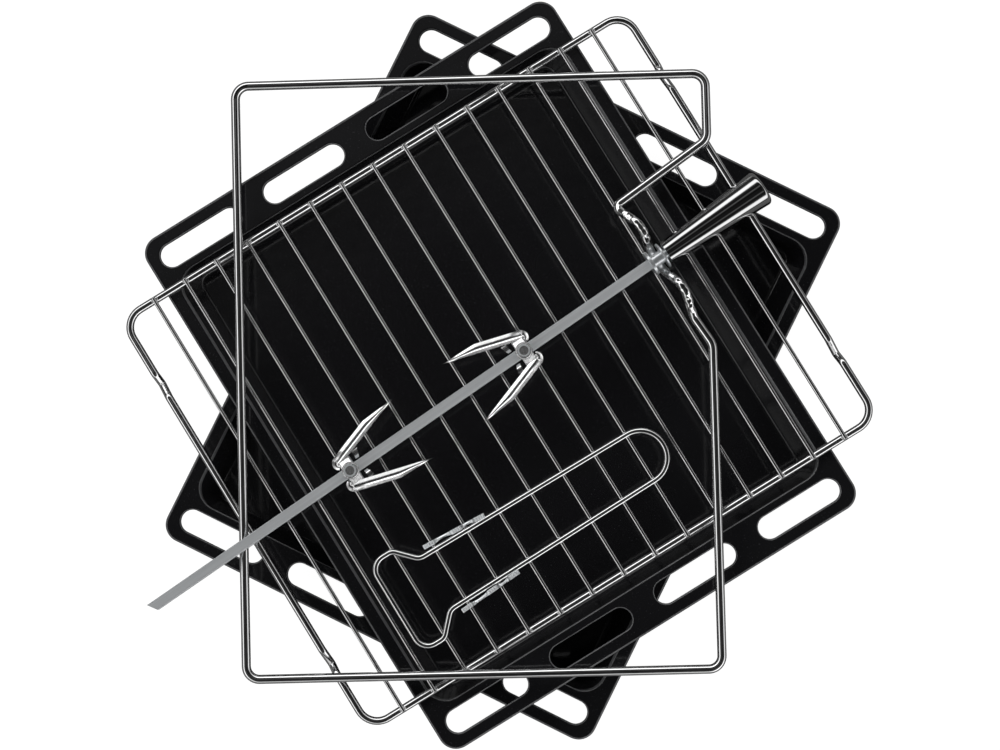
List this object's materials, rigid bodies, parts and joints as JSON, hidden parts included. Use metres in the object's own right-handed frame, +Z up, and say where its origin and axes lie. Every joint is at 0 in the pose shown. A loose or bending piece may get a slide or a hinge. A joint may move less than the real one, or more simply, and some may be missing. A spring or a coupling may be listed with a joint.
{
  "type": "rotisserie oven accessory set",
  "caption": "Stacked rotisserie oven accessories: enamelled trays, wire rack, spit frame, spit with forks and handle, and a wire tray lifter.",
  "frame": {"origin": "centre of the lower tray's floor, on its underside", "axes": "+Z up; +X to the right and +Y to the rear of the stack as it lies, the spit's handle pointing to +X and +Y"},
  "size_m": [0.5684, 0.5714, 0.084],
  "materials": {
    "black_enamel": "glossy vitreous enamel",
    "rack_chrome": "bright plated wire",
    "frame_chrome": "bright plated wire",
    "lifter_chrome": "bright plated wire",
    "handle_chrome": "mirror polished",
    "fork_chrome": "bright pressed steel, plated",
    "rod_steel": "drawn bar, lengthwise grain",
    "turned_steel": "turned",
    "screw_steel": "dark, knurled"
  },
  "bodies": {
    "lower_tray": {"lower_tray": "black_enamel"},
    "upper_tray": {"upper_tray": "black_enamel"},
    "rack": {"rack_loop": "rack_chrome", "rack_bar_01": "rack_chrome", "rack_bar_02": "rack_chrome", "rack_bar_03": "rack_chrome", "rack_bar_04": "rack_chrome", "rack_bar_05": "rack_chrome", "rack_bar_06": "rack_chrome", "rack_bar_07": "rack_chrome", "rack_bar_08": "rack_chrome", "rack_bar_09": "rack_chrome", "rack_bar_10": "rack_chrome", "rack_bar_11": "rack_chrome", "rack_bar_12": "rack_chrome", "rack_bar_13": "rack_chrome", "rack_bar_14": "rack_chrome", "rack_bar_15": "rack_chrome"},
    "spit_frame": {"spit_frame": "frame_chrome"},
    "spit": {"spit_rod": "rod_steel", "spit_bush": "turned_steel", "spit_stud": "turned_steel"},
    "handle": {"handle_tube": "handle_chrome", "handle_cap": "handle_chrome", "handle_plug": "turned_steel"},
    "fork_near": {"fork_near_collar": "fork_chrome", "fork_near_prong_left": "fork_chrome", "fork_near_prong_right": "fork_chrome"},
    "fork_near_screw": {"fork_near_screw": "screw_steel"},
    "fork_far": {"fork_far_collar": "fork_chrome", "fork_far_prong_left": "fork_chrome", "fork_far_prong_right": "fork_chrome"},
    "fork_far_screw": {"fork_far_screw": "screw_steel"},
    "lifter": {"lifter_loop": "lifter_chrome", "lifter_clip_left": "lifter_chrome", "lifter_clip_right": "lifter_chrome"}
  },
  "joints": [
    {"name": "upper_tray_lift", "type": "slide", "parent": "lower_tray", "child": "upper_tray", "axis": [0, 0, 1], "range_m": [0, 0.12]},
    {"name": "rack_lift", "type": "slide", "parent": "upper_tray", "child": "rack", "axis": [0, 0, 1], "range_m": [0, 0.12]},
    {"name": "frame_lift", "type": "slide", "parent": "rack", "child": "spit_frame", "axis": [0, 0, 1], "range_m": [0, 0.12]},
    {"name": "lifter_lift", "type": "slide", "parent": "rack", "child": "lifter", "axis": [0, 0, 1], "range_m": [0, 0.1]},
    {"name": "spit_turn", "type": "hinge", "parent": "spit_frame", "child": "spit", "pos_m": [0.11735, 0.0843, 0.0701], "axis": [0.8231, 0.5678, 0], "range_deg": [0, 360.5]},
    {"name": "handle_pull", "type": "slide", "parent": "spit", "child": "handle", "axis": [0.8231, 0.5678, 0], "range_m": [0, 0.12]},
    {"name": "near_fork_slide", "type": "slide", "parent": "spit", "child": "fork_near", "axis": [0.8231, 0.5678, 0], "range_m": [-0.02, 0.085]},
    {"name": "far_fork_slide", "type": "slide", "parent": "spit", "child": "fork_far", "axis": [0.8231, 0.5678, 0], "range_m": [-0.075, 0.02]},
    {"name": "near_screw_turn", "type": "hinge", "parent": "fork_near", "child": "fork_near_screw", "pos_m": [0.01693, 0.01502, 0.0791], "axis": [0, 0, 1], "range_deg": [0, 720]},
    {"name": "far_screw_turn", "type": "hinge", "parent": "fork_far", "child": "fork_far_screw", "pos_m": [-0.11296, -0.07458, 0.0791], "axis": [0, 0, 1], "range_deg": [0, 720]}
  ],
  "couplings": [
    {"joint": "spit_turn", "follows": "frame_lift", "rad_per_m": 52.36}
  ]
}
